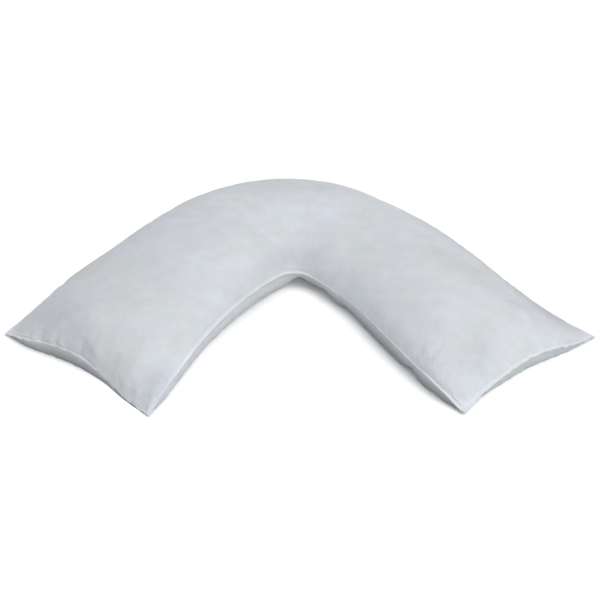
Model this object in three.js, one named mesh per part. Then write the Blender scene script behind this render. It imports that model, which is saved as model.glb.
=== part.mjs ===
// A V-shaped bed pillow lying on its back: two boomerang panels of thin cloth, sewn together all round
// and filled with soft fibre. The filled body is drawn in along its seams, sags on its underside until it
// lies flat, and thins out into four limp corners. The margin of the seam stands out as a narrow lip.
//
// Millimetres. +Z is up, +Y points to the fold of the V and +X to the right arm, seen from the open side.
// The origin is under the middle of the pillow, on the surface that it lies on.

import * as THREE from "three";

// The whole pillow
const CROWN = 60; // rise of the top panel above the seams where the arms are fullest
const BELLY = 66; // hang of the bottom panel below the seams, before the surface flattens it
const SWELL = { top: 3, bottom: 7 }; // how far each panel swells out past its seam
const LIP_WIDTH = 5; // seam margin outside the stitching
const LIP_THICKNESS = 2; // two layers of each panel

// How the filling rounds each panel between its seams: a higher power is flatter in the middle, and a
// lower root is steeper at the seams
const ROUNDING = {
  topAcross: { power: 2.3, root: 0.6 },
  topAlong: { power: 2.2, root: 0.62 },
  bottomOuter: { power: 3.4, root: 0.6 },
  bottomInner: { power: 4.5, root: 0.5 },
  bottomAlong: { power: 4.5, root: 0.5 },
};
const END_REACH = 0.15; // share of the pillow's length over which each end fills out
const CONTACT_BLEND = 9; // height over which the bottom panel rounds on to the surface

// Cross-sections from the left end to the right one. Each runs from the outer seam to the inner seam:
// where the two seams lie and how high they stand [x, y, z], and how full the section is.
const SECTIONS = [
  { outer: [-533, -119, 5], inner: [-252, -335, 5], full: 0.9 },
  { outer: [-493, -66, 15], inner: [-232, -301, 22], full: 0.9 },
  { outer: [-440, 4, 30], inner: [-205, -238, 28], full: 0.96 },
  { outer: [-375, 80, 40], inner: [-169, -159, 34], full: 1.0 },
  { outer: [-312, 168, 44], inner: [-118, -81, 43], full: 1.02 },
  { outer: [-229, 268, 44], inner: [-69, -20, 46], full: 1.02 },
  { outer: [-129, 334, 44], inner: [-30, 16, 45], full: 0.96 },
  { outer: [-24, 352, 44], inner: [-3, 22, 45], full: 0.98 },
  { outer: [86, 327, 44], inner: [23, 8, 43], full: 0.98 },
  { outer: [187, 249, 44], inner: [59, -30, 42], full: 0.98 },
  { outer: [271, 160, 43], inner: [104, -86, 42], full: 1.0 },
  { outer: [335, 69, 41], inner: [148, -160, 40], full: 1.0 },
  { outer: [394, -17, 33], inner: [195, -234, 32], full: 0.98 },
  { outer: [460, -81, 18], inner: [234, -289, 25], full: 0.92 },
  { outer: [530, -129, 5], inner: [272, -327, 6], full: 0.9 },
];

// Each short end's seam at even steps from its outer corner to its inner one: how far the filling draws
// it into the arm, and how high it stands above the straight line between the corners
const END_SEAMS = {
  left: { drawnIn: [0, 0, 12, 19, 17, 6, 0], rise: [0, 14, 22, 20, 4, 0, 0] },
  right: { drawnIn: [0, 1, 8, 14, 13, 11, 0], rise: [0, 8, 19, 20, 15, 7, 0] },
};

// Lumps of the filling and hollows between them on the top panel: centre, half length and half width,
// the way the length points in degrees from +X, and the height of the lump
const LUMPS = [
  { name: "left end lump", x: -280, y: -190, long: 110, wide: 90, turn: 50, high: 7 },
  { name: "left ear hollow", x: -372, y: -180, long: 80, wide: 46, turn: 80, high: -7 },
  { name: "left inner corner hollow", x: -262, y: -282, long: 55, wide: 30, turn: 60, high: -6 },
  { name: "left arm trough", x: -205, y: -160, long: 120, wide: 40, turn: 130, high: -5 },
  { name: "left arm lump", x: -150, y: 20, long: 130, wide: 100, turn: 55, high: 5 },
  { name: "fold valley", x: -62, y: 100, long: 120, wide: 40, turn: 118, high: -5 },
  { name: "fold lump", x: 10, y: 190, long: 90, wide: 60, turn: 10, high: 5 },
  { name: "right arm trough", x: 60, y: 20, long: 120, wide: 45, turn: 125, high: -7 },
  { name: "right arm hollow", x: 160, y: -125, long: 60, wide: 40, turn: 130, high: -5 },
  { name: "right arm lump", x: 240, y: 10, long: 170, wide: 80, turn: 125, high: 4 },
  { name: "right end lump", x: 262, y: -225, long: 60, wide: 60, turn: 0, high: 5 },
  { name: "right end hollow", x: 305, y: -248, long: 60, wide: 24, turn: 60, high: -5 },
  { name: "right ear ridge", x: 380, y: -140, long: 90, wide: 24, turn: 120, high: 8 },
  { name: "right ear hollow", x: 430, y: -110, long: 80, wide: 34, turn: 120, high: -8 },
];

// Tucks where a short seam catches the bottom panel up, in the same columns, and the share of the
// fullness that each takes away
const TUCKS = [
  { name: "crotch tuck", x: -1, y: 46, long: 45, wide: 22, turn: 92, takes: 0.65 },
  { name: "right arm tuck 1", x: 54, y: -2, long: 38, wide: 40, turn: 45, takes: 0.5 },
  { name: "right arm tuck 2", x: 104, y: -66, long: 30, wide: 18, turn: 40, takes: 0.25 },
  { name: "right arm tuck 3", x: 202, y: -222, long: 30, wide: 20, turn: 37, takes: 0.45 },
  { name: "right arm tuck 4", x: 246, y: -274, long: 26, wide: 14, turn: 37, takes: 0.25 },
];

const ROWS = 80; // steps from end to end
const COLUMNS = 20; // steps from outer seam to inner seam
const CROWDING = 0.6; // how far the steps crowd towards the seams, from 0 to 1

const { lerp } = THREE.MathUtils;

// A number read from a smooth line through evenly spaced values
function alongValues(values, share) {
  const points = values.map((value, i) => new THREE.Vector3(i / (values.length - 1), value, 0));
  return new THREE.CatmullRomCurve3(points, false, "catmullrom", 0.5).getPoint(share).y;
}

const seams = {
  outer: new THREE.CatmullRomCurve3(SECTIONS.map((s) => new THREE.Vector3(...s.outer))),
  inner: new THREE.CatmullRomCurve3(SECTIONS.map((s) => new THREE.Vector3(...s.inner))),
};
const fullness = SECTIONS.map((s) => s.full);

// The share of full height at a place between two seams, 0 at either seam and 1 midway
function dome(place, { power, root }) {
  return (1 - Math.abs(2 * place - 1) ** power) ** root;
}

// The same from one end seam inwards, reaching 1 at END_REACH
function fillOut(along, shape) {
  const fromEnd = Math.min(along, 1 - along, END_REACH) / END_REACH;
  return dome(fromEnd / 2, shape);
}

// Direction in plan that leads from an end seam into its arm
function intoArm({ outer, inner }, side) {
  return new THREE.Vector3(outer[1] - inner[1], inner[0] - outer[0], 0).setLength(side);
}
const ends = [
  { ...END_SEAMS.left, into: intoArm(SECTIONS[0], 1), stepsFrom: (along) => along },
  { ...END_SEAMS.right, into: intoArm(SECTIONS.at(-1), -1), stepsFrom: (along) => 1 - along },
];

// Point on the sheet between the seams, at a share of the way along and across
function middleSheet(along, across) {
  const point = seams.outer.getPoint(along).lerp(seams.inner.getPoint(along), across);
  for (const end of ends) {
    const near = Math.max(0, 1 - end.stepsFrom(along) / END_REACH) ** 2;
    point.addScaledVector(end.into, near * alongValues(end.drawnIn, across));
    point.z += near * alongValues(end.rise, across);
  }
  return point;
}

// Share of a lump or tuck that is felt at a point of the plan, 1 at its centre
function felt(spot, { x, y }) {
  const turn = THREE.MathUtils.degToRad(spot.turn);
  const lengthwise = ((x - spot.x) * Math.cos(turn) + (y - spot.y) * Math.sin(turn)) / spot.long;
  const crosswise = ((y - spot.y) * Math.cos(turn) - (x - spot.x) * Math.sin(turn)) / spot.wide;
  return Math.exp(-(lengthwise ** 2 + crosswise ** 2));
}

// Height above the surface of a panel that would reach this height with no surface in its way
function restOnSurface(height) {
  if (height > CONTACT_BLEND) return height;
  if (height < -CONTACT_BLEND) return 0;
  return (height + CONTACT_BLEND) ** 2 / (4 * CONTACT_BLEND);
}

// Moves a point out past the seam that it is near, most where its panel is half full
function swellOut(point, along, across, fillAcross, fillAlong, swell) {
  const section = seams.outer.getPoint(along).sub(seams.inner.getPoint(along)).setZ(0).normalize();
  const sideways = 4 * fillAcross * (1 - fillAcross) * fillAlong * Math.sign(0.5 - across);
  point.addScaledVector(section, sideways * swell);
  for (const end of ends) {
    const endways = end.stepsFrom(along) < END_REACH ? 4 * fillAlong * (1 - fillAlong) * fillAcross : 0;
    point.addScaledVector(end.into, -endways * swell);
  }
}

function topPoint(along, across) {
  const point = middleSheet(along, across);
  const fillAcross = dome(across, ROUNDING.topAcross);
  const fillAlong = fillOut(along, ROUNDING.topAlong);
  const lumps = LUMPS.reduce((sum, lump) => sum + lump.high * felt(lump, point), 0);
  point.z += LIP_THICKNESS / 2 + fillAcross * fillAlong * (CROWN * alongValues(fullness, along) + lumps);
  swellOut(point, along, across, fillAcross, fillAlong, SWELL.top);
  return point;
}

function bottomPoint(along, across) {
  const point = middleSheet(along, across);
  const kept = 1 - TUCKS.reduce((sum, tuck) => sum + tuck.takes * felt(tuck, point), 0);
  const fillAcross = kept * dome(across, across < 0.5 ? ROUNDING.bottomOuter : ROUNDING.bottomInner);
  const fillAlong = fillOut(along, ROUNDING.bottomAlong);
  point.z = restOnSurface(point.z - LIP_THICKNESS / 2 - fillAcross * fillAlong * BELLY);
  swellOut(point, along, across, fillAcross, fillAlong, SWELL.bottom);
  return point;
}

// Shares from 0 to 1 that crowd towards both ends
function crowdedSteps(count) {
  return Array.from({ length: count + 1 }, (_, i) => {
    const even = i / count;
    return lerp(even, (1 - Math.cos(Math.PI * even)) / 2, CROWDING);
  });
}

// A panel as rows of points, with one more row or column of points all round for the lip
function panelRows(pointAt) {
  const alongSteps = crowdedSteps(ROWS);
  const acrossSteps = crowdedSteps(COLUMNS);
  const rows = alongSteps.map((along) => acrossSteps.map((across) => pointAt(along, across)));
  const outwards = (edge, inside) => edge.clone().sub(inside).setZ(0).setLength(LIP_WIDTH);
  for (const row of rows) {
    row.unshift(row[0].clone().add(outwards(row[0], row[2])));
    row.push(row.at(-1).clone().add(outwards(row.at(-1), row.at(-3))));
  }
  const beyond = (edge, inside) => edge.map((point, i) => point.clone().add(outwards(point, inside[i])));
  rows.unshift(beyond(rows[0], rows[2]));
  rows.push(beyond(rows.at(-1), rows.at(-3)));
  return rows;
}

// One closed body of the two panels and the edge between them
function pillowGeometry() {
  const top = panelRows(topPoint);
  const bottom = panelRows(bottomPoint);
  const rowLength = top[0].length;
  const vertices = [...top.flat(), ...bottom.flat()];
  const at = (row, column) => row * rowLength + column;
  const under = top.length * rowLength;
  const faces = [];
  const quad = (a, b, c, d) => faces.push(a, b, c, a, c, d);
  for (let i = 0; i + 1 < top.length; i++) {
    for (let j = 0; j + 1 < rowLength; j++) {
      quad(at(i, j), at(i, j + 1), at(i + 1, j + 1), at(i + 1, j));
      quad(under + at(i, j), under + at(i + 1, j), under + at(i + 1, j + 1), under + at(i, j + 1));
    }
    const last = rowLength - 1;
    quad(at(i, 0), at(i + 1, 0), under + at(i + 1, 0), under + at(i, 0));
    quad(at(i + 1, last), at(i, last), under + at(i, last), under + at(i + 1, last));
  }
  for (let j = 0; j + 1 < rowLength; j++) {
    const last = top.length - 1;
    quad(at(0, j + 1), at(0, j), under + at(0, j), under + at(0, j + 1));
    quad(at(last, j), at(last, j + 1), under + at(last, j + 1), under + at(last, j));
  }
  const geometry = new THREE.BufferGeometry().setFromPoints(vertices);
  geometry.setIndex(faces);
  geometry.computeBoundingBox();
  const middle = geometry.boundingBox.getCenter(new THREE.Vector3());
  geometry.translate(-middle.x, -middle.y, 0);
  geometry.computeVertexNormals();
  return geometry;
}

const pillow = new THREE.Mesh(
  pillowGeometry(),
  new THREE.MeshStandardMaterial({ color: 0xd3d6db, roughness: 0.85, metalness: 0 }),
);
pillow.name = "pillow";

const part = new THREE.Group();
part.add(pillow);

export default part;
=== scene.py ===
"""A V-shaped bed pillow, dressed: its sewn and filled cover, the seam lip all round and the stitches.

The cover is built from the solid's cross-sections, in millimetres, on a much finer grid, with its seam a
little lower round the crotch. Gathers along the seams and creases are added, and a cloth simulation gives
it its wrinkles. The material adds the weave and the mottling, and paints a highlight along the lip and
shade on the underside and in patches of the top panel.
"""
import math

import bpy
import numpy as np
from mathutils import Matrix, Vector


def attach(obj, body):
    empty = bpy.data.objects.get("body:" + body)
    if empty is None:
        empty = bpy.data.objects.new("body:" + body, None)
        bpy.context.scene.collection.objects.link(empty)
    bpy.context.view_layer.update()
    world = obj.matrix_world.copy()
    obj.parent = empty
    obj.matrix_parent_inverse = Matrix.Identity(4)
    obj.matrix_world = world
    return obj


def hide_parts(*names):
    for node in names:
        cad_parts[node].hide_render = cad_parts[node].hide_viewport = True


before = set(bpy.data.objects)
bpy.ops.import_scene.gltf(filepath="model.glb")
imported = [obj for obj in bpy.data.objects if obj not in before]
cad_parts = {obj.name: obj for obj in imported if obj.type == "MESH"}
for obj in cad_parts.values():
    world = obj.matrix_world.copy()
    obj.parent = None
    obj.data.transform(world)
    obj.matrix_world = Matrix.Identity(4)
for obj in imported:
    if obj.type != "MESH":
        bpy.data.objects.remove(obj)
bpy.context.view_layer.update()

MM = 0.001

# The whole pillow, in millimetres
CROWN = 60              # rise of the top panel above the seams where the arms are fullest
BELLY = 66              # hang of the bottom panel below the seams, before the surface flattens it
SWELL_TOP = 3           # how far each panel swells out past its seam
SWELL_BOTTOM = 7
LIP_THICKNESS = 2       # the margins of both panels together
END_REACH = 0.15        # share of the pillow's length over which each end fills out
CONTACT_BLEND = 9       # height over which the bottom panel rounds on to the surface

# How the filling rounds each panel between its seams: power, root
TOP_ACROSS = (2.3, 0.6)
TOP_ALONG = (2.2, 0.62)
BOTTOM_OUTER = (3.4, 0.6)
BOTTOM_INNER = (4.5, 0.5)
BOTTOM_ALONG = (4.5, 0.5)

# Cross-sections from the left end to the right one: outer seam x, y, z, inner seam x, y, z, fullness,
# width of the lip at the inner seam as a share of its full width
SECTIONS = np.array([
    (-533, -119, 5, -252, -335, 5, 0.90, 1.0),
    (-493, -66, 15, -232, -301, 22, 0.90, 1.1),
    (-440, 4, 30, -205, -238, 28, 0.96, 1.3),
    (-375, 80, 40, -169, -159, 34, 1.00, 1.4),
    (-312, 168, 44, -118, -81, 43, 1.02, 1.4),
    (-229, 268, 44, -69, -20, 46, 1.02, 1.4),
    (-129, 334, 44, -30, 22, 41, 0.96, 1.2),
    (-24, 352, 44, -3, 32, 37, 0.98, 1.0),
    (86, 327, 44, 23, 20, 34, 0.98, 0.6),
    (187, 249, 44, 59, -18, 33, 0.98, 0.45),
    (271, 160, 43, 104, -76, 35, 1.00, 0.5),
    (335, 69, 41, 148, -154, 36, 1.00, 0.7),
    (394, -17, 33, 195, -234, 32, 0.98, 0.7),
    (460, -81, 18, 234, -289, 25, 0.92, 0.9),
    (530, -129, 5, 272, -327, 6, 0.90, 1.3),
])

# Each short end's seam at even steps from its outer corner to its inner one: how far the filling draws
# it into the arm, and how high it stands above the straight line between the corners
END_DRAWN_IN = {"left": (0, 0, 12, 19, 17, 6, 0), "right": (0, 1, 8, 14, 13, 11, 0)}
END_RISE = {"left": (0, 14, 22, 19, 3, -2, -1), "right": (0, 8, 19, 20, 15, 7, 0)}

# The width of the lip at each short end as a share of its full width, at the same steps
END_LIP = {"left": (1, 0.8, 0.8, 0.7, 0.4, 0.4, 0.8), "right": (1.2, 1.1, 1.2, 1.3, 1.4, 1.6, 1.5)}

# Lumps and hollows of the top panel: centre x, y, half length, half width, turn in degrees, height.
# A row without a note belongs to the place above it.
LUMPS = [
    (-283, -190, 105, 85, 50, 6),   # left end
    (-370, -150, 60, 45, 125, 7),   # beside the left ear
    (-395, -185, 75, 40, 125, -4),  # left ear
    (-310, -285, 45, 16, -37, 4),   # inner part of the left end
    (-261, -285, 50, 30, 60, -6),
    (-255, -235, 40, 22, 60, 7),
    (-284, -254, 45, 18, -37, -2),
    (-230, -155, 80, 26, 124, -6),  # across the left arm
    (-145, 35, 120, 85, 55, 4),     # left arm
    (-130, 15, 75, 40, 55, -2),     # left arm, inner side
    (-112, 55, 50, 45, 0, 5),
    (-66, 95, 110, 26, 121, -7),    # valley at the fold
    (-8, 62, 60, 45, 0, -8),        # before the crotch
    (10, 45, 40, 18, 0, 3),
    (50, 60, 45, 40, 0, 8),         # right of the crotch
    (5, 170, 75, 50, 10, 7),        # fold
    (-30, 220, 50, 30, 0, 4),       # fold, far side
    (85, 220, 45, 35, -30, 3),
    (240, 0, 170, 80, 125, 7),      # right arm
    (160, 75, 50, 30, 125, -4),
    (320, -60, 75, 35, 125, 9),     # right arm, far side
    (120, -40, 70, 30, 125, 3),     # right arm, inner side
    (194, -165, 70, 24, 125, -6),
    (250, -220, 50, 42, 110, -1),   # right end, inner side
    (244, -242, 34, 22, 120, -4),
    (275, -235, 60, 30, 80, -6),
    (394, -168, 66, 18, 137, 8),    # ridge of the right ear
    (400, -155, 45, 35, 125, 8),
    (440, -125, 70, 30, 125, -6),   # right ear
]

# Tucks of the bottom panel: centre x, y, half length, half width, turn, share of the fullness taken away
TUCKS = [
    (-1, 52, 45, 24, 92, 0.54),     # crotch
    (50, 8, 44, 40, 45, 0.54),
    (84, -46, 26, 20, 40, 0.3),
    (104, -66, 30, 18, 40, 0.2),
    (202, -222, 30, 20, 37, 0.45),
    (246, -274, 26, 14, 37, 0.25),
]

# Creases of the finished top panel, in the columns of the lumps
CREASES = [
    (-350, -227, 22, 8, 120, 2.5),   # streak beside the left ear
    (-366, -222, 26, 9, 125, -2.0),
    (-273, -296, 15, 6, 108, 1.6),   # left inner corner
    (43, -6, 26, 4, 129, -0.9),      # along the seam, right of the crotch
    (22, 40, 30, 7, 60, -0.8),       # fan from the crotch
    (-20, 60, 34, 8, 100, -0.8),
    (472, -146, 24, 8, 135, 2.2),    # right ear
    (479, -166, 20, 4, 31, -1.4),
    (-476, -158, 11, 4, 52, 1.6),    # puckers of the left end seam
    (-459, -166, 11, 5, 52, -1.4),
    (-441, -175, 12, 4, 50, 1.8),
    (-430, -181, 11, 4, 50, -1.4),
    (-418, -187, 12, 4, 50, 1.8),
    (-396, -200, 11, 4, 48, 1.4),
    (-381, -210, 14, 5, 48, -1.6),
]

# The grid of each panel, coarse for the simulation and fine for the finished cover
COARSE = (186, 50)
FINE = (372, 100)
CROWDING = 0.6          # how much it crowds towards the seams
LIP_OFFSETS = (1.3, 2.6, 3.9, 5.0)    # rings of points from the seam outwards
LIP_HEIGHTS = (1.0, 0.55, 0.95, 0.0)  # of each face above the middle of the lip: a groove at the stitches
LIPS = len(LIP_OFFSETS)
STITCH_RING = 1                       # number of the ring that the stitches follow

# Gathers along the seams: height beside the seam, reach into the panel, shortest and longest wave
GATHERS = {
    "top": {"long": (0.2, 16, 18, 50), "end": (0.4, 22, 14, 40)},
    "bottom": {"long": (0.5, 24, 18, 60), "end": (0.8, 26, 10, 40)},
}
GATHERS_START = 3       # how far from the seam the gathers rise, in millimetres
WAVES = 7               # waves that add up to a row of gathers
SEED = 7

# Waves of the lip itself: height at its edge, shortest and longest wave
LIP_WAVES = {"long": (0.4, 30, 90), "end": (0.9, 14, 40)}

# Share of the simulated wrinkles that is kept, and the steps that even out the change between the two
WRINKLES = {"middle": 0.15, "end": 0.6}
WRINKLES_BLEND = 60
OFF_FLOOR = 0.5         # height from which the bottom panel is free to move, in millimetres
GUIDE_STEP = 2          # points inside a seam from which its outward direction is taken


def felt(spot, x, y):
    """Share of a lump or tuck that is felt at points of the plan, 1 at its centre."""
    centre_x, centre_y, half_length, half_width, turn = spot[:5]
    cos, sin = math.cos(math.radians(turn)), math.sin(math.radians(turn))
    lengthwise = ((x - centre_x) * cos + (y - centre_y) * sin) / half_length
    crosswise = ((y - centre_y) * cos - (x - centre_x) * sin) / half_width
    return np.exp(-(lengthwise ** 2 + crosswise ** 2))


def total(spots, x, y):
    """Sum of what a table of lumps or tucks adds at points of the plan."""
    return sum(spot[5] * felt(spot, x, y) for spot in spots)


def cubic(before, start, stop, after, weight):
    """Cubic from start to stop with the slopes before and after."""
    return (start + before * weight
            + (3 * (stop - start) - 2 * before - after) * weight ** 2
            + (2 * (start - stop) + before + after) * weight ** 3)


def spline(points, shares, centripetal):
    """Smooth curve through points, read at shares of its number of spans."""
    points = np.asarray(points, float).reshape(len(points), -1)
    padded = np.vstack([2 * points[0] - points[1], points, 2 * points[-1] - points[-2]])
    place = shares * (len(points) - 1)
    span = np.minimum(place.astype(int), len(points) - 2)
    weight = (place - span)[:, None]
    a, b, c, d = (padded[span + k] for k in range(4))
    if not centripetal:
        return cubic((c - a) / 2, b, c, (d - b) / 2, weight)
    t0, t1, t2 = (np.sqrt(np.linalg.norm(q - p, axis=1))[:, None] for p, q in ((a, b), (b, c), (c, d)))
    leaving = ((b - a) / t0 - (c - a) / (t0 + t1) + (c - b) / t1) * t1
    arriving = ((c - b) / t1 - (d - b) / (t1 + t2) + (d - c) / t2) * t1
    return cubic(leaving, b, c, arriving, weight)


def dome(place, shape):
    """Share of full height between two seams: 0 at either seam and 1 midway."""
    power, root = shape
    return np.maximum(0, 1 - np.abs(2 * place - 1) ** power) ** root


def fill_out(along, shape):
    """The same from an end seam inwards, reaching 1 at END_REACH."""
    from_end = np.minimum(np.minimum(along, 1 - along), END_REACH) / END_REACH
    return dome(from_end / 2, shape)


def crowded_steps(count):
    """Shares from 0 to 1 that crowd towards both ends."""
    even = np.linspace(0, 1, count + 1)
    return (1 - CROWDING) * even + CROWDING * (1 - np.cos(np.pi * even)) / 2


def run_of(points):
    """Length along a row of points, from its first one."""
    steps = np.linalg.norm(np.diff(points, axis=0), axis=-1)
    return np.concatenate([np.zeros((1,) + steps.shape[1:]), np.cumsum(steps, axis=0)])


class Sheet:
    """The sheet between the seams, and the two panels that the filling pushes away from it."""

    def __init__(self, rows, columns):
        self.along = crowded_steps(rows)
        self.across = crowded_steps(columns)
        outer = spline(SECTIONS[:, 0:3], self.along, True)
        inner = spline(SECTIONS[:, 3:6], self.along, True)
        self.full = spline(SECTIONS[:, 6], self.along, False)
        self.inner_lip = spline(SECTIONS[:, 7], self.along, False)[:, 0]
        across = self.across[None, :, None]
        self.points = outer[:, None] * (1 - across) + inner[:, None] * across
        section = (outer - inner) * (1, 1, 0)
        self.section = section / np.linalg.norm(section, axis=1)[:, None]
        self.end_lips = [spline(END_LIP[name], self.across, False) for name in ("left", "right")]
        self.ends = []
        for name, row, side in (("left", SECTIONS[0], 1), ("right", SECTIONS[-1], -1)):
            into = side * np.array([row[1] - row[4], row[3] - row[0], 0.0])
            into /= np.linalg.norm(into)
            steps = self.along if name == "left" else 1 - self.along
            near = np.maximum(0, 1 - steps / END_REACH)[:, None] ** 2
            drawn = spline(END_DRAWN_IN[name], self.across, False)[:, 0][None, :]
            rise = spline(END_RISE[name], self.across, False)[:, 0][None, :]
            self.points = self.points + (near * drawn)[..., None] * into
            self.points[..., 2] += near * rise
            self.ends.append((into, steps < END_REACH))

    def swell(self, points, fill_across, fill_along, amount):
        """Moves points out past the seams that they are near, most where their panel is half full."""
        sideways = 4 * fill_across * (1 - fill_across) * fill_along * np.sign(0.5 - self.across)[None, :]
        points += amount * sideways[..., None] * self.section[:, None]
        for into, felt_here in self.ends:
            endways = 4 * fill_along * (1 - fill_along) * fill_across * felt_here[:, None]
            points -= amount * endways[..., None] * into

    def top(self):
        """The top panel."""
        points = self.points.copy()
        fill_across = dome(self.across, TOP_ACROSS)[None, :] * np.ones_like(points[..., 0])
        fill_along = fill_out(self.along, TOP_ALONG)[:, None]
        lumps = total(LUMPS, points[..., 0], points[..., 1])
        points[..., 2] += LIP_THICKNESS / 2 + fill_across * fill_along * (CROWN * self.full + lumps)
        self.swell(points, fill_across, fill_along, SWELL_TOP)
        return points

    def bottom(self):
        """The bottom panel, flattened where it lies on the surface."""
        points = self.points.copy()
        outer_half = self.across < 0.5
        shape = np.where(outer_half, dome(self.across, BOTTOM_OUTER), dome(self.across, BOTTOM_INNER))
        fill_across = shape[None, :] * (1 - total(TUCKS, points[..., 0], points[..., 1]))
        fill_along = fill_out(self.along, BOTTOM_ALONG)[:, None]
        height = points[..., 2] - LIP_THICKNESS / 2 - fill_across * fill_along * BELLY
        rounded = np.maximum(0, height + CONTACT_BLEND) ** 2 / (4 * CONTACT_BLEND)
        points[..., 2] = np.where(height > CONTACT_BLEND, height, rounded)
        self.swell(points, fill_across, fill_along, SWELL_BOTTOM)
        return points

    def from_seams(self):
        """How far each point is from the outer, inner, left and right seams, and how far along each seam."""
        down = run_of(self.points)
        over = run_of(self.points.swapaxes(0, 1)).swapaxes(0, 1)
        return (("long", over, down[:, :1]), ("long", over[:, -1:] - over, down[:, -1:]),
                ("end", down, over[:1]), ("end", down[-1:] - down, over[-1:]))


def normals_of(panel, side):
    """Outward directions of a panel's grid of points."""
    normal = np.cross(np.gradient(panel, axis=0), np.gradient(panel, axis=1))
    normal *= side * np.sign(normal[..., 2].mean()) / np.linalg.norm(normal, axis=-1, keepdims=True)
    return normal


def gathers(sheet, name, random):
    """Height of the gathers at each point of a panel."""
    height = np.zeros(sheet.points.shape[:2])
    for kind, away, place in sheet.from_seams():
        most, reach, shortest, longest = GATHERS[name][kind]
        lengths = random.uniform(shortest, longest, WAVES)
        starts = random.uniform(0, 2 * math.pi, WAVES)
        wave = sum(np.sin(2 * math.pi * place / length + start) for length, start in zip(lengths, starts))
        near = np.exp(-away / reach) * (1 - np.exp(-away / GATHERS_START))
        height += most * wave / math.sqrt(WAVES / 2) * near
    return height


def outward(edge, inside):
    """Directions in plan from points inside a seam to those on it."""
    out = (edge - inside) * (1, 1, 0)
    return out / np.linalg.norm(out, axis=-1, keepdims=True)


def with_lip(panel, side, sheet):
    """Adds the lip's rings of points round a panel, on its upper (1) or lower (-1) side."""
    guide = sheet.points
    rings = list(zip(LIP_OFFSETS, LIP_HEIGHTS))
    inner_width = sheet.inner_lip[:, None]
    out_outer = outward(guide[:, 0], guide[:, GUIDE_STEP])
    out_inner = outward(guide[:, -1], guide[:, -1 - GUIDE_STEP]) * inner_width

    def ring(edge, out, offset, height):
        return edge + out * offset + np.array([0, 0, side * height])

    outer = np.stack([ring(guide[:, 0], out_outer, *sizes) for sizes in reversed(rings)], 1)
    inner = np.stack([ring(guide[:, -1], out_inner, *sizes) for sizes in rings], 1)
    wide = np.concatenate([outer, panel, inner], 1)
    flat = np.concatenate([outer * (1, 1, 0), guide, inner * (1, 1, 0)], 1)
    flat[:, :LIPS, 2] = guide[:, :1, 2]
    flat[:, -LIPS:, 2] = guide[:, -1:, 2]

    def end_rows(edge):
        inside = GUIDE_STEP if edge == 0 else -1 - GUIDE_STEP
        out = outward(guide[edge], guide[inside]) * sheet.end_lips[edge]
        out = np.pad(out, ((LIPS, LIPS), (0, 0)), mode="edge")
        own = side * (wide[edge, :, 2] - flat[edge, :, 2])
        corner = np.ones(len(out), bool)
        corner[LIPS:-LIPS] = False
        rows = []
        for offset, height in rings:
            row = ring(flat[edge], out, offset, height)
            row[corner, 2] = flat[edge, corner, 2] + side * np.minimum(own[corner], height)
            rows.append(row)
        return rows

    return np.concatenate([np.stack(end_rows(0)[::-1]), wide, np.stack(end_rows(-1))], 0)


def waving(top, bottom, random):
    """Lets the lip wave up and down a little, both of its layers alike."""
    share = np.array(LIP_OFFSETS) / LIP_OFFSETS[-1]
    for axis, (most, shortest, longest) in ((0, LIP_WAVES["long"]), (1, LIP_WAVES["end"])):
        for first in (True, False):
            edge = 0 if first else -1
            line = top[:, edge] if axis == 0 else top[edge]
            place = run_of(line)
            lengths = random.uniform(shortest, longest, WAVES)
            starts = random.uniform(0, 2 * math.pi, WAVES)
            wave = sum(np.sin(2 * math.pi * place / length + start) for length, start in zip(lengths, starts))
            wave *= most / math.sqrt(WAVES / 2)
            rise = wave[:, None] * (share[::-1] if first else share)
            rings = slice(0, LIPS) if first else slice(-LIPS, None)
            for panel in (top, bottom):
                if axis == 0:
                    panel[:, rings, 2] += rise
                else:
                    panel[rings, :, 2] += rise.T


def closed_mesh(name, top, bottom):
    """One closed mesh of two panels that share their rim, and the vertex numbers of each panel."""
    rows, columns = top.shape[:2]
    rim = np.zeros((rows, columns), bool)
    rim[0] = rim[-1] = rim[:, 0] = rim[:, -1] = True
    upper = np.arange(rows * columns).reshape(rows, columns)
    lower = upper.copy()
    lower[~rim] = rows * columns + np.arange((~rim).sum())
    vertices = np.concatenate([top.reshape(-1, 3), bottom[~rim]]) * MM

    def quads(index, flip):
        a, b, c, d = index[:-1, :-1], index[:-1, 1:], index[1:, 1:], index[1:, :-1]
        return np.stack((a, b, c, d) if flip else (a, d, c, b), -1).reshape(-1, 4)

    both = []
    for index, flip in ((upper, True), (lower, False)):
        panel = quads(index, flip)
        # Two corner quads start elsewhere, so that no diagonal between rim points is in both panels
        for corner in (columns - 2, (rows - 2) * (columns - 1)):
            panel[corner] = np.roll(panel[corner], 1)
        both.append(panel)
    faces = np.concatenate(both)
    mesh = bpy.data.meshes.new(name)
    mesh.from_pydata(vertices.tolist(), [], faces.tolist())
    mesh.polygons.foreach_set("use_smooth", np.ones(len(faces), bool))
    mesh.update()
    return mesh, upper, lower


def coordinates(mesh):
    """A mesh's vertices as an array."""
    flat = np.empty(len(mesh.vertices) * 3)
    mesh.vertices.foreach_get("co", flat)
    return flat.reshape(-1, 3)


def add_piece(name, mesh, material):
    """Links a mesh as an object of the scene with one material."""
    piece = bpy.data.objects.new(name, mesh)
    bpy.context.scene.collection.objects.link(piece)
    mesh.materials.append(material)
    return piece


# The cloth simulation
PRESSURE = 4.0
EXTRA_CLOTH = 0.015     # share by which the cloth is longer than the filled form
LAST_FRAME = 20
BROAD_STEPS = 30        # how often the move is evened out to find its broad part, which is left out
MOST_MOVE = 4           # longest fine move that is kept, in millimetres


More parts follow.
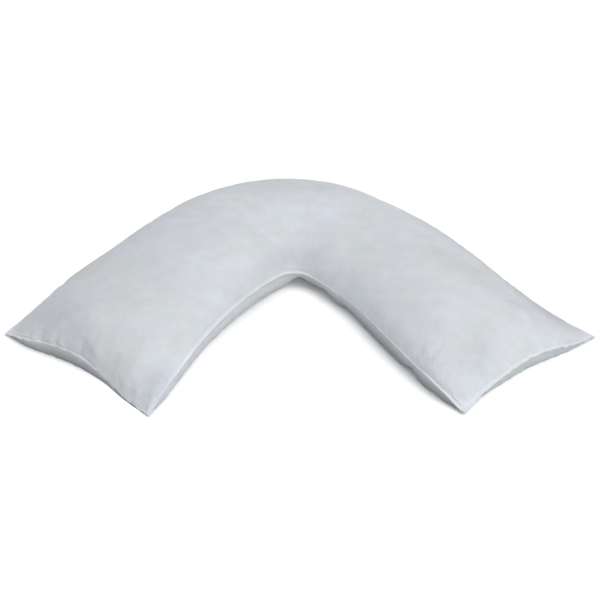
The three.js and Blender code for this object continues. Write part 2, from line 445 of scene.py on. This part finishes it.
def evened(field, steps):
    """A field on the grid of a panel, evened out between neighbours again and again."""
    for _ in range(steps):
        wide = np.pad(field, ((1, 1), (1, 1), (0, 0)), mode="edge")
        field = (wide[:-2, 1:-1] + wide[2:, 1:-1] + wide[1:-1, :-2] + wide[1:-1, 2:] + 4 * field) / 8
    return field


def simulated_wrinkles():
    """Fine moves of each panel that a cloth simulation under the filling's pressure ends in."""
    sheet = Sheet(*COARSE)
    top, bottom = sheet.top(), sheet.bottom()
    mesh, upper, lower = closed_mesh("trial", with_lip(top, 1, sheet), with_lip(bottom, -1, sheet))
    piece = bpy.data.objects.new("trial", mesh)
    bpy.context.scene.collection.objects.link(piece)
    start = coordinates(mesh)
    free = np.zeros(len(start), bool)
    inside = np.s_[LIPS + 1:-LIPS - 1, LIPS + 1:-LIPS - 1]
    free[upper[inside]] = True
    free[lower[inside]] = start[lower[inside]][..., 2] > OFF_FLOOR * MM
    group = piece.vertex_groups.new(name="held")
    group.add(np.nonzero(~free)[0].tolist(), 1.0, "REPLACE")
    cloth = piece.modifiers.new("Cloth", "CLOTH")
    settings = cloth.settings
    settings.vertex_group_mass = group.name
    settings.use_pressure = True
    settings.uniform_pressure_force = PRESSURE
    settings.shrink_min = -EXTRA_CLOTH
    settings.effector_weights.gravity = 0
    cloth.point_cache.frame_end = LAST_FRAME
    scene = bpy.context.scene
    for step in range(1, LAST_FRAME + 1):
        scene.frame_set(step)
    settled = piece.evaluated_get(bpy.context.evaluated_depsgraph_get())
    move = (coordinates(settled.to_mesh()) - start) / MM
    settled.to_mesh_clear()
    bpy.data.objects.remove(piece)
    bpy.data.meshes.remove(mesh)
    scene.frame_set(1)
    wrinkles = []
    for numbers in (upper, lower):
        field = move[numbers]
        field = (field - evened(field, BROAD_STEPS)) * free[numbers][..., None]
        length = np.linalg.norm(field, axis=-1, keepdims=True)
        field *= np.minimum(1, MOST_MOVE / np.maximum(length, 1e-6))
        wrinkles.append(field[LIPS:-LIPS, LIPS:-LIPS])
    return wrinkles


def refined(field, rows, columns):
    """A field on the coarse grid, read on the fine grid."""
    down = spline(field.reshape(len(field), -1), np.linspace(0, 1, rows + 1), False)
    down = down.reshape(rows + 1, field.shape[1], 3).swapaxes(0, 1)
    over = spline(down.reshape(field.shape[1], -1), np.linspace(0, 1, columns + 1), False)
    return over.reshape(columns + 1, rows + 1, 3).swapaxes(0, 1)


def panels():
    """The finished top and bottom panels with their lips.

    Also how close to the lip each point inside it is, which the lip's painted highlight follows, and the
    height between the seams at every point.
    """
    sheet = Sheet(*FINE)
    top, bottom = sheet.top(), sheet.bottom()
    random = np.random.default_rng(SEED)
    free_below = (bottom[..., 2] > OFF_FLOOR)[..., None]
    fine = gathers(sheet, "top", random) + total(CREASES, top[..., 0], top[..., 1])
    top += normals_of(top, 1) * fine[..., None]
    bottom += normals_of(bottom, -1) * gathers(sheet, "bottom", random)[..., None] * free_below
    from_end = np.minimum(sheet.along, 1 - sheet.along)[:, None, None]
    share = np.where(from_end < END_REACH, WRINKLES["end"], WRINKLES["middle"])
    share = evened(share * np.ones_like(top[..., :1]), WRINKLES_BLEND)
    wrinkles_above, wrinkles_below = (refined(field, *FINE) for field in simulated_wrinkles())
    top += wrinkles_above * share
    bottom += wrinkles_below * share
    bottom[..., 2] = np.maximum(bottom[..., 2], 0)
    top, bottom = with_lip(top, 1, sheet), with_lip(bottom, -1, sheet)
    waving(top, bottom, random)
    both = np.concatenate([top.reshape(-1, 3), bottom.reshape(-1, 3)])
    middle = (both.min(0) + both.max(0)) / 2 * (1, 1, 0)
    beside_lip = np.exp(-np.min([away for _, away, _ in sheet.from_seams()], axis=0) / LIP_HIGHLIGHT_REACH)
    seam_height = np.pad(sheet.points[..., 2], LIPS, mode="edge")
    return top - middle, bottom - middle, beside_lip, seam_height


# The fabric
LIP_HIGHLIGHT_REACH = 5           # how far the lip's painted highlight fades out over the panels, in millimetres
# Painted shade on the underside: darkest near the floor and on the side turned away from the key light
UNDERSIDE_SHADE_SIDE = 342    # azimuth of the side where the underside's painted shade is lightest, in degrees
UNDERSIDE_SHADE_LEAST = 0.33  # share of the full painted shade there
UNDERSIDE_SHADE_GROWTH = 1.5  # how fast the share grows towards the opposite side
UNDERSIDE_SHADE_MOST = 0.95   # share at which it stops
UNDERSIDE_SHADE_CURVE = 0.6   # power by which the painted shade sets in below the seam
UNDERSIDE_SHADE_BLEND = 12    # steps that even it out

# What the colour is multiplied by where the lip's painted highlight, the underside's painted shade or a
# patch's painted shade is in full, by channel
PAINTED_LIGHT_EFFECTS = {"Red": 1.14, "Green": 0.28, "Blue": 0.0}

# Patches of painted shade on the top panel: centre x, y, half length, half width, turn, share
SHADE_PATCHES = [
    (-440, -150, 60, 40, 130, 0.16),  # left ear
    (-378, -212, 34, 16, 119, 0.12),
    (-320, -80, 260, 180, 55, 0.06),  # left arm
    (-240, -308, 42, 20, 60, 0.18),   # left inner corner
    (-100, -68, 150, 18, 58, 0.08),   # inner side of the left arm
    (-8, 36, 42, 20, 0, 0.14),        # crotch
    (-48, 5, 40, 14, 40, 0.05),
    (-10, 250, 160, 28, 0, 0.05),     # far side of the fold
    (340, -95, 120, 26, 137, 0.10),   # far side of the right arm
    (350, 30, 170, 35, 127, 0.20),
    (455, -105, 75, 36, 140, 0.20),   # right ear
    (305, -256, 45, 22, 60, 0.10),    # right end
]


class Nodes:
    """Short ways to add nodes to a material."""

    def __init__(self, name):
        self.material = bpy.data.materials.new(name)
        self.material.use_nodes = True
        self.tree = self.material.node_tree
        self.shader = self.tree.nodes["Principled BSDF"]

    def add(self, kind, values=None, **settings):
        node = self.tree.nodes.new(kind)
        for name, value in settings.items():
            setattr(node, name, value)
        for name, value in (values or {}).items():
            self.put(node.inputs[name], value)
        return node

    def put(self, socket, value):
        if isinstance(value, bpy.types.NodeSocket):
            self.tree.links.new(value, socket)
        else:
            socket.default_value = value

    def noise(self, place, scale, detail=3.0, roughness=0.5):
        return self.add("ShaderNodeTexNoise", {"Vector": place, "Scale": scale, "Detail": detail,
                                               "Roughness": roughness}).outputs["Fac"]

    def ranged(self, value, low, high, to_low, to_high):
        return self.add("ShaderNodeMapRange", {"Value": value, "From Min": low, "From Max": high,
                                               "To Min": to_low, "To Max": to_high}).outputs["Result"]

    def math(self, operation, first, second):
        node = self.add("ShaderNodeMath", operation=operation)
        self.put(node.inputs[0], first)
        self.put(node.inputs[1], second)
        return node.outputs[0]

    def mixed(self, share, first, second, blend="MIX"):
        node = self.add("ShaderNodeMix", data_type="RGBA", blend_type=blend)
        for socket, value in zip((node.inputs[0], node.inputs[6], node.inputs[7]), (share, first, second)):
            self.put(socket, value)
        return node.outputs[2]

    def bump(self, height, distance, strength=1.0, normal=None):
        node = self.add("ShaderNodeBump", {"Height": height, "Distance": distance, "Strength": strength})
        if normal is not None:
            self.put(node.inputs["Normal"], normal)
        return node.outputs["Normal"]


GREENISH = (0.573, 0.599, 0.603, 1)
BLUISH = (0.599, 0.621, 0.672, 1)
THREAD_PITCH = 0.9 * MM
WAVE_PERIOD = 0.314     # period of a wave texture whose scale is 1


def fabric(name):
    """Thin matt white cotton with a faint cool mottling, a fine plain weave and a soft unevenness; its colour
    also carries painted highlight and painted shade.
    """
    nodes = Nodes(name)
    place = nodes.add("ShaderNodeTexCoord").outputs["Object"]
    clouds = nodes.ranged(nodes.noise(place, 11, 4, 0.55), 0.35, 0.65, 0, 1)
    colour = nodes.mixed(clouds, GREENISH, BLUISH)
    blotches = nodes.ranged(nodes.noise(place, 42, 3, 0.6), 0.3, 0.7, 0.965, 1.035)
    colour = nodes.mixed(1.0, colour, blotches, "MULTIPLY")

    weave = []
    for direction in ("X", "Y"):
        values = {"Vector": place, "Scale": WAVE_PERIOD / THREAD_PITCH, "Distortion": 0.6, "Detail": 1.0,
                  "Detail Scale": 0.2}
        threads = nodes.add("ShaderNodeTexWave", values, wave_type="BANDS", bands_direction=direction,
                            wave_profile="SIN")
        weave.append(threads.outputs["Fac"])
    cloth = nodes.math("MAXIMUM", *weave)
    colour = nodes.mixed(1.0, colour, nodes.ranged(cloth, 0, 1, 0.975, 1.01), "MULTIPLY")

    # The stored painted light: highlight along the lip, shade on the underside and shade in patches
    stored = nodes.add("ShaderNodeAttribute", attribute_name="painted_light").outputs["Color"]
    painted_light = nodes.add("ShaderNodeSeparateColor", {"Color": stored})
    for channel, effect in PAINTED_LIGHT_EFFECTS.items():
        factor = nodes.ranged(painted_light.outputs[channel], 0, 1, 1, effect)
        colour = nodes.mixed(1.0, colour, factor, "MULTIPLY")
    nodes.put(nodes.shader.inputs["Base Color"], colour)
    nodes.put(nodes.shader.inputs["Roughness"], nodes.ranged(nodes.noise(place, 60), 0.3, 0.7, 0.82, 0.94))

    uneven = nodes.bump(nodes.noise(place, 26, 3, 0.55), 1.6 * MM, 0.5)
    creped = nodes.bump(nodes.noise(place, 130, 3, 0.6), 0.35 * MM, 0.6, uneven)
    woven = nodes.bump(cloth, 0.06 * MM, 0.7, creped)
    nodes.put(nodes.shader.inputs["Normal"], woven)
    nodes.shader.inputs["Sheen Weight"].default_value = 0.12
    nodes.shader.inputs["Sheen Roughness"].default_value = 0.5
    nodes.shader.inputs["Specular IOR Level"].default_value = 0.25
    return nodes.material


def store_painted_light(mesh, top, bottom, upper, lower, beside_lip, seam_height):
    """Stores the painted light of each point: painted highlight along the lip (red), painted shade on the
    underside (green) and painted shade in the patches (blue).
    """
    painted_light = np.zeros((len(mesh.vertices), 4))
    painted_light[:, 3] = 1
    # Painted highlight: full on the lip, fading out over the panels beside it
    for numbers in (upper, lower):
        lip = np.ones(numbers.shape)
        lip[LIPS:-LIPS, LIPS:-LIPS] = beside_lip
        painted_light[numbers, 0] = np.maximum(painted_light[numbers, 0], lip)
    # Painted shade in patches of the top panel
    patch_shade = 1 - np.prod([1 - spot[5] * felt(spot, top[..., 0], top[..., 1]) for spot in SHADE_PATCHES], axis=0)
    painted_light[upper, 2] = patch_shade
    # Painted shade on the underside, growing towards the floor and on the side turned away from the key light
    below = np.clip(1 - bottom[..., 2] / seam_height, 0, 1)
    out = normals_of(bottom, -1)[..., :2]
    out = out / np.maximum(np.linalg.norm(out, axis=-1, keepdims=True), 1e-6)
    light_side = math.radians(UNDERSIDE_SHADE_SIDE)
    turned = (1 - out @ (math.cos(light_side), math.sin(light_side))) / 2
    share = UNDERSIDE_SHADE_LEAST + (1 - UNDERSIDE_SHADE_LEAST) * turned * UNDERSIDE_SHADE_GROWTH
    share = evened(np.minimum(share, UNDERSIDE_SHADE_MOST)[..., None], UNDERSIDE_SHADE_BLEND)[..., 0]
    painted_light[lower, 1] = below ** UNDERSIDE_SHADE_CURVE * share
    # The rim belongs to both panels and gets no painted underside shade
    painted_light[upper[0], 1] = painted_light[upper[-1], 1] = painted_light[upper[:, 0], 1] = painted_light[upper[:, -1], 1] = 0
    attribute = mesh.color_attributes.new("painted_light", "FLOAT_COLOR", "POINT")
    attribute.data.foreach_set("color", painted_light.ravel())


# The stitches, in millimetres
STITCH_PITCH = 3.0
STITCH_LENGTH = 2.3
STITCH_HALF_WIDTH = 0.28
STITCH_SIDES = 6
STITCH_SUNK = 0.1
STITCH_RINGS = ((-0.5, 0.35), (-0.25, 1.0), (0.25, 1.0), (0.5, 0.35))  # place along it, share of its width


def seam_line(panel):
    """The closed line of the stitches on a panel's lip."""
    near, far = LIPS - 1 - STITCH_RING, -LIPS + STITCH_RING
    rows = slice(near, far)
    return np.concatenate([panel[rows, near], panel[far, near:far], panel[rows, far][::-1],
                           panel[near, near:far][::-1]])


def stitches(top, bottom):
    """Short thread spindles along both faces of the lip, as one mesh."""
    angles = np.linspace(0, 2 * math.pi, STITCH_SIDES, endpoint=False)
    last_ring = len(STITCH_RINGS) - 1
    vertices, faces = [], []
    for panel, side in ((top, 1), (bottom, -1)):
        line = seam_line(panel)
        line = np.concatenate([line, line[:1]])
        run = run_of(line)
        keep = np.concatenate([[True], np.diff(run) > 0])
        line, run = line[keep], run[keep]
        centres = np.arange(STITCH_PITCH / 2, run[-1], STITCH_PITCH)
        at = []
        for place, _ in STITCH_RINGS:
            runs = centres + place * STITCH_LENGTH
            at.append(np.stack([np.interp(runs, run, line[:, k]) for k in range(3)], 1))
        forward = at[-1] - at[0]
        forward /= np.linalg.norm(forward, axis=1, keepdims=True)
        sideways = np.cross(forward, (0, 0, 1))
        sideways /= np.linalg.norm(sideways, axis=1, keepdims=True)
        upwards = np.cross(sideways, forward) * side
        rings = []
        for centre, (_, size) in zip(at, STITCH_RINGS):
            offsets = np.cos(angles)[:, None] * sideways[:, None] + np.sin(angles)[:, None] * upwards[:, None]
            lifted = centre + upwards * (STITCH_HALF_WIDTH - STITCH_SUNK)
            rings.append(lifted[:, None] + offsets * STITCH_HALF_WIDTH * size)
        block = np.stack(rings, 1)
        count = sum(len(earlier) for earlier in vertices)
        vertices.append(block.reshape(-1, 3))
        first = count + np.arange(len(centres))[:, None, None] * len(STITCH_RINGS) * STITCH_SIDES
        ring = first + np.arange(last_ring)[None, :, None] * STITCH_SIDES
        a = ring + np.arange(STITCH_SIDES)
        b = ring + (np.arange(STITCH_SIDES) + 1) % STITCH_SIDES
        c, d = b + STITCH_SIDES, a + STITCH_SIDES
        order = (a, d, c, b) if side > 0 else (a, b, c, d)
        faces += np.stack(order, -1).reshape(-1, 4).tolist()
        for step, turn in ((0, 1), (last_ring, -1)):
            cap = first[:, 0] + step * STITCH_SIDES + np.arange(STITCH_SIDES)[::turn * side]
            faces += cap.tolist()
    mesh = bpy.data.meshes.new("seam_stitches")
    mesh.from_pydata((np.concatenate(vertices) * MM).tolist(), [], faces)
    mesh.polygons.foreach_set("use_smooth", np.ones(len(faces), bool))
    mesh.update()
    return mesh


def thread(name):
    """White polyester thread with a faint twist."""
    nodes = Nodes(name)
    place = nodes.add("ShaderNodeTexCoord").outputs["Object"]
    shade = nodes.ranged(nodes.noise(place, 900, 1), 0.3, 0.7, 0.93, 1.05)
    nodes.put(nodes.shader.inputs["Base Color"], nodes.mixed(1.0, (0.60, 0.62, 0.64, 1), shade, "MULTIPLY"))
    nodes.put(nodes.shader.inputs["Roughness"], nodes.ranged(nodes.noise(place, 500), 0.3, 0.7, 0.5, 0.65))
    nodes.shader.inputs["Sheen Weight"].default_value = 0.1
    return nodes.material


top, bottom, beside_lip, seam_height = panels()
mesh, upper, lower = closed_mesh("pillow_cover", top, bottom)
# Paints the lip's highlight and the shade of the underside and the patches into the cover's colour
store_painted_light(mesh, top, bottom, upper, lower, beside_lip, seam_height)
cover = add_piece("pillow_cover", mesh, fabric("cover"))
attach(cover, "root")
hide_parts("pillow")

seam = add_piece("seam_stitches", stitches(top, bottom), thread("thread"))
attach(seam, "root")


# The studio
CAMERA_TARGET = Vector((0.0008, -0.017, 0))
CAMERA_HEIGHT_ANGLE = math.radians(36)
CAMERA_DISTANCE = 1.990
VIEW_WIDTH = 1.150
SENSOR_WIDTH = 36.0

# Soft lights: azimuth from +X and height in degrees, share of full light on a surface that faces it,
# apparent width in degrees
LIGHTS = {
    "key": (332, 54, 0.41, 40),
    "front": (284, 27, 0.14, 40),
    "top": (0, 88, 0.42, 50),
}
ROOM_LIGHT = 0.28
ROOM_COLOUR = (0.95, 0.97, 1.0, 1)
FLOOR_GLOW = 0.07
FLOOR_SHADE = 0.92
FLOOR_HALF = 40


def aim(thing, target):
    """Points a camera or light at a place."""
    thing.rotation_euler = (Vector(target) - thing.location).to_track_quat("-Z", "Y").to_euler()


def direction(azimuth, height):
    """Unit vector towards an azimuth and height in radians."""
    flat = math.cos(height)
    return Vector((flat * math.cos(azimuth), flat * math.sin(azimuth), math.sin(height)))


def add_camera():
    """The camera at the photograph's viewing angle."""
    data = bpy.data.cameras.new("camera")
    data.sensor_width = SENSOR_WIDTH
    data.lens = SENSOR_WIDTH * CAMERA_DISTANCE / VIEW_WIDTH
    data.clip_start, data.clip_end = 0.05, 50
    camera = bpy.data.objects.new("camera", data)
    bpy.context.scene.collection.objects.link(camera)
    camera.location = CAMERA_TARGET + CAMERA_DISTANCE * direction(-math.pi / 2, CAMERA_HEIGHT_ANGLE)
    aim(camera, CAMERA_TARGET)
    bpy.context.scene.camera = camera


def add_light(name, azimuth, height, share, width):
    """One soft light, far away."""
    data = bpy.data.lights.new(name, "SUN")
    data.angle = math.radians(width)
    data.energy = share * math.pi
    light = bpy.data.objects.new(name, data)
    bpy.context.scene.collection.objects.link(light)
    light.location = direction(math.radians(azimuth), math.radians(height))
    aim(light, (0, 0, 0))


def add_floor():
    """The plain pale floor."""
    nodes = Nodes("floor")
    nodes.shader.inputs["Base Color"].default_value = (FLOOR_SHADE, FLOOR_SHADE, FLOOR_SHADE, 1)
    nodes.shader.inputs["Roughness"].default_value = 0.9
    nodes.shader.inputs["Emission Color"].default_value = (1, 1, 1, 1)
    nodes.shader.inputs["Emission Strength"].default_value = FLOOR_GLOW
    mesh = bpy.data.meshes.new("floor")
    corners = [(x * FLOOR_HALF, y * FLOOR_HALF, 0) for x, y in ((-1, -1), (1, -1), (1, 1), (-1, 1))]
    mesh.from_pydata(corners, [], [(0, 1, 2, 3)])
    add_piece("floor", mesh, nodes.material)


add_camera()
add_floor()
for name, facts in LIGHTS.items():
    add_light(name, *facts)
world = bpy.data.worlds.new("studio")
world.use_nodes = True
world.node_tree.nodes["Background"].inputs["Color"].default_value = ROOM_COLOUR
world.node_tree.nodes["Background"].inputs["Strength"].default_value = ROOM_LIGHT
bpy.context.scene.world = world
bpy.context.scene.view_settings.view_transform = "Standard"
